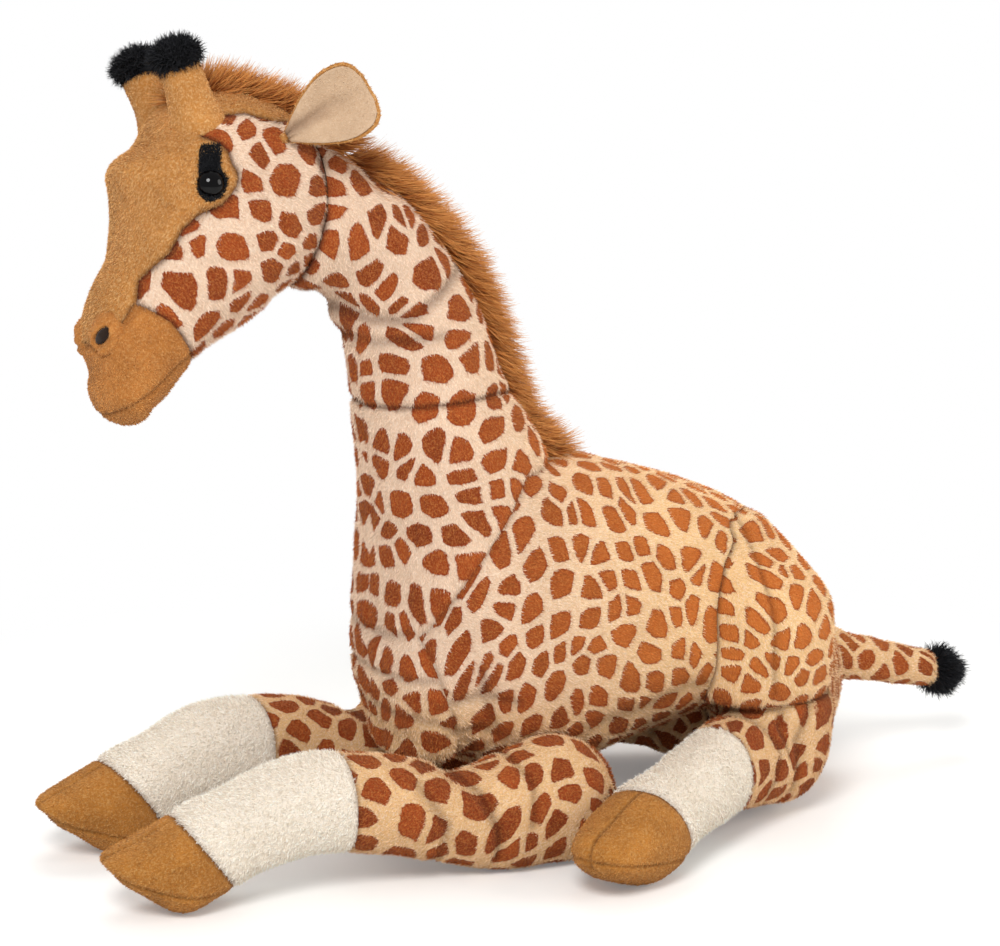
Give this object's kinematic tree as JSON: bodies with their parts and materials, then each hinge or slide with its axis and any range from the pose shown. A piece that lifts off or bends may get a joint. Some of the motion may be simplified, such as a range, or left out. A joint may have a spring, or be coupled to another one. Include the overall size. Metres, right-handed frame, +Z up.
{
  "type": "plush giraffe",
  "caption": "Stuffed giraffe lying down with folded legs, long raised neck, cocked head, fur mane and tufted horns and tail.",
  "frame": {"origin": "on the floor, under the middle of the whole toy", "axes": "+Z up, -X the way the nose points, -Y the giraffe's left side"},
  "size_m": [0.7818, 0.4346, 0.6123],
  "materials": {
    "print_plush": "short pile plush printed with reddish brown patches on cream",
    "tan_plush": "short pile plush, tan brown",
    "muzzle_plush": "short pile plush, orange brown",
    "hoof_plush": "short pile plush, golden brown",
    "cuff_terry": "looped terry pile, pale cream",
    "mane_fur": "long pile fur, golden brown",
    "black_fur": "long pile fur, near black",
    "lining_plush": "short pile plush, beige cream",
    "filling_fibre": "loose white fibre",
    "lash_felt": "black felt",
    "nostril_dark": "black satin stitch",
    "eye_gloss": "polished black",
    "washer_plastic": "natural white, moulded"
  },
  "bodies": {
    "body": {"torso_skin": "print_plush", "neck_skin": "print_plush", "body_filling": "filling_fibre", "neck_mane": "mane_fur", "thigh_left": "print_plush", "thigh_right": "print_plush"},
    "head": {"cheek_skin": "print_plush", "face_panel": "tan_plush", "muzzle_skin": "muzzle_plush", "jaw_skin": "muzzle_plush", "head_filling": "filling_fibre", "head_mane": "mane_fur", "horn_left": "tan_plush", "horn_right": "tan_plush", "horn_tuft_left": "black_fur", "horn_tuft_right": "black_fur", "eye_left": "eye_gloss", "eye_right": "eye_gloss", "eye_washer_left": "washer_plastic", "eye_washer_right": "washer_plastic", "eye_lash_left": "lash_felt", "eye_lash_right": "lash_felt", "nostril_ring_left": "muzzle_plush", "nostril_ring_right": "muzzle_plush", "nostril_slot_left": "nostril_dark", "nostril_slot_right": "nostril_dark"},
    "left_ear": {"ear_left": "tan_plush", "ear_lining_left": "lining_plush"},
    "right_ear": {"ear_right": "tan_plush", "ear_lining_right": "lining_plush"},
    "tail": {"tail_tube": "print_plush", "tail_tuft": "black_fur"},
    "left_foreleg": {"foreleg_left": "print_plush", "foreleg_cuff_left": "cuff_terry", "fore_hoof_left": "hoof_plush", "foreleg_filling_left": "filling_fibre"},
    "right_foreleg": {"foreleg_right": "print_plush", "foreleg_cuff_right": "cuff_terry", "fore_hoof_right": "hoof_plush", "foreleg_filling_right": "filling_fibre"},
    "left_hindleg": {"hindleg_left": "print_plush", "hindleg_cuff_left": "cuff_terry", "hind_hoof_left": "hoof_plush", "hindleg_filling_left": "filling_fibre"},
    "right_hindleg": {"hindleg_right": "print_plush", "hindleg_cuff_right": "cuff_terry", "hind_hoof_right": "hoof_plush", "hindleg_filling_right": "filling_fibre"}
  },
  "joints": [
    {"name": "head_nod", "type": "hinge", "parent": "body", "child": "head", "pos_m": [-0.26724, 0, 0.495], "axis": [0, 0.9877, -0.1564], "range_deg": [-12, 5], "stiffness_Nm_per_rad": 12},
    {"name": "left_ear_flop", "type": "hinge", "parent": "head", "child": "left_ear", "pos_m": [-0.23562, -0.04945, 0.54179], "axis": [0, 0, -1], "range_deg": [-15, 15], "stiffness_Nm_per_rad": 0.05},
    {"name": "right_ear_flop", "type": "hinge", "parent": "head", "child": "right_ear", "pos_m": [-0.23561, 0.0615, 0.52422], "axis": [0, 0, 1], "range_deg": [-15, 15], "stiffness_Nm_per_rad": 0.05},
    {"name": "tail_wag", "type": "hinge", "parent": "body", "child": "tail", "pos_m": [0.25576, 0, 0.098], "axis": [0, 0, 1], "range_deg": [-15, 15], "stiffness_Nm_per_rad": 0.4},
    {"name": "left_foreleg_splay", "type": "hinge", "parent": "body", "child": "left_foreleg", "pos_m": [-0.04424, -0.094, 0], "axis": [0, 0, 1], "range_deg": [0, 20], "stiffness_Nm_per_rad": 2},
    {"name": "right_foreleg_splay", "type": "hinge", "parent": "body", "child": "right_foreleg", "pos_m": [-0.04424, 0.094, 0], "axis": [0, 0, -1], "range_deg": [0, 20], "stiffness_Nm_per_rad": 2},
    {"name": "left_hindleg_splay", "type": "hinge", "parent": "body", "child": "left_hindleg", "pos_m": [0.15976, -0.075, 0], "axis": [0, 0, 1], "range_deg": [0, 20], "stiffness_Nm_per_rad": 2},
    {"name": "right_hindleg_splay", "type": "hinge", "parent": "body", "child": "right_hindleg", "pos_m": [0.15976, 0.075, 0], "axis": [0, 0, -1], "range_deg": [0, 20], "stiffness_Nm_per_rad": 2}
  ]
}
